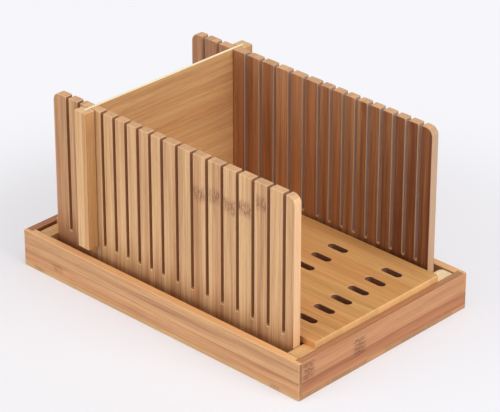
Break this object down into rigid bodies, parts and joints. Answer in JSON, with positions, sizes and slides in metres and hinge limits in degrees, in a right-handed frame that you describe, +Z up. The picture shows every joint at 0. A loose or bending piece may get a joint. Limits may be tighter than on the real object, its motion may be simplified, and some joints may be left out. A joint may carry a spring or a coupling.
{
  "type": "bread slicer guide",
  "caption": "Bamboo bread slicing guide: a slotted board between two lift-out slotted guides with a stop, standing in a crumb tray.",
  "frame": {"origin": "middle of the crumb tray's underside", "axes": "+X along the tray towards the open front end, +Y from the near guide to the far guide, +Z up"},
  "size_m": [0.3014, 0.1924, 0.1573],
  "materials": {
    "tray_bamboo": "satin, lightly oiled, grain along each wall",
    "batten_bamboo": "pale, sanded",
    "rail_bamboo": "sanded",
    "board_bamboo": "satin, grain lengthways",
    "dowel_wood": "plain turned",
    "guide_bamboo": "satin, upright grain",
    "stop_bamboo": "satin, grain across",
    "post_bamboo": "satin, upright grain"
  },
  "bodies": {
    "tray": {"tray_near_wall": "tray_bamboo", "tray_far_wall": "tray_bamboo", "tray_front_wall": "tray_bamboo", "tray_rear_wall": "tray_bamboo", "tray_bottom": "tray_bamboo"},
    "base": {"front_batten": "batten_bamboo", "rear_batten": "batten_bamboo", "near_rail": "rail_bamboo", "far_rail": "rail_bamboo", "slotted_board": "board_bamboo", "board_dowels": "dowel_wood", "rail_dowels": "dowel_wood"},
    "near_side": {"near_guide": "guide_bamboo"},
    "far_side": {"far_guide": "guide_bamboo"},
    "stop": {"stop_board": "stop_bamboo", "near_stop_post": "post_bamboo", "far_stop_post": "post_bamboo"}
  },
  "joints": [
    {"name": "base_lift", "type": "slide", "parent": "tray", "child": "base", "axis": [0, 0, 1], "range_m": [0, 0.04]},
    {"name": "near_guide_lift", "type": "slide", "parent": "base", "child": "near_side", "axis": [0, 0, 1], "range_m": [0, 0.03]},
    {"name": "far_guide_lift", "type": "slide", "parent": "base", "child": "far_side", "axis": [0, 0, 1], "range_m": [0, 0.03]},
    {"name": "stop_lift", "type": "slide", "parent": "near_side", "child": "stop", "axis": [0, 0, 1], "range_m": [0, 0.12]}
  ],
  "couplings": [
    {"joint": "far_guide_lift", "follows": "near_guide_lift", "ratio": 1}
  ]
}
